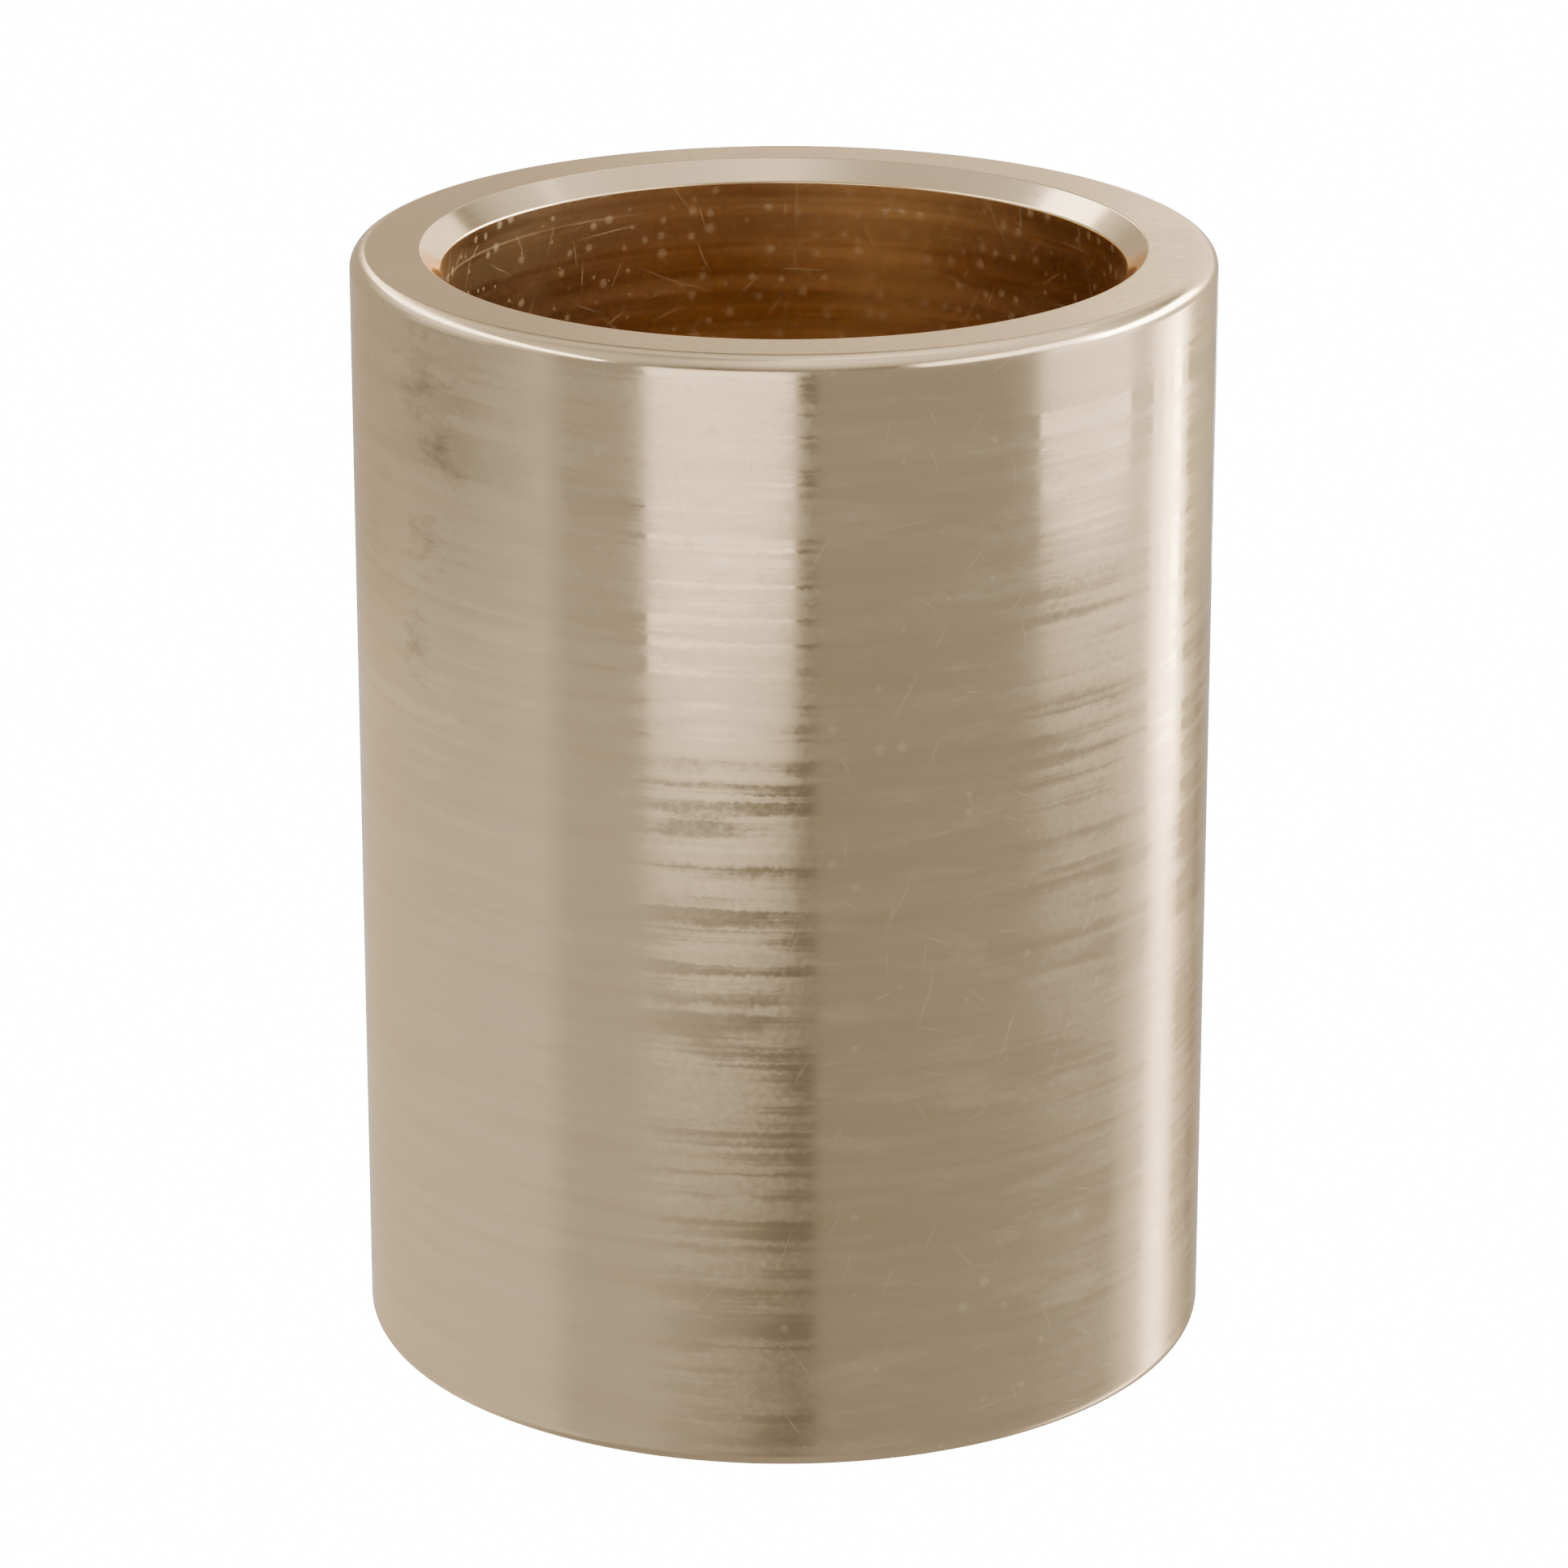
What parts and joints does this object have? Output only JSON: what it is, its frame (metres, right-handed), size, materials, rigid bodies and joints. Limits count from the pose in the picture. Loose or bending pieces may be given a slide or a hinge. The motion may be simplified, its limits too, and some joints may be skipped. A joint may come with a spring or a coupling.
{
  "type": "bronze sleeve bushing",
  "caption": "Plain cylindrical bronze sleeve bushing with a chamfered bore and rounded outer edges, pressed into a housing as a shaft bearing.",
  "frame": {"origin": "centre of the lower end face, on the axis of the bore", "axes": "+Z along the bore from the lower end face to the upper one; X and Y are any two radial directions"},
  "size_m": [0.038, 0.038, 0.05],
  "materials": {
    "bushing_bronze": "satin turned bearing bronze, warm grey-brown, with fine machining rings round the wall and the bore"
  },
  "bodies": {
    "root": {"bushing_sleeve": "bushing_bronze"}
  },
  "joints": []
}
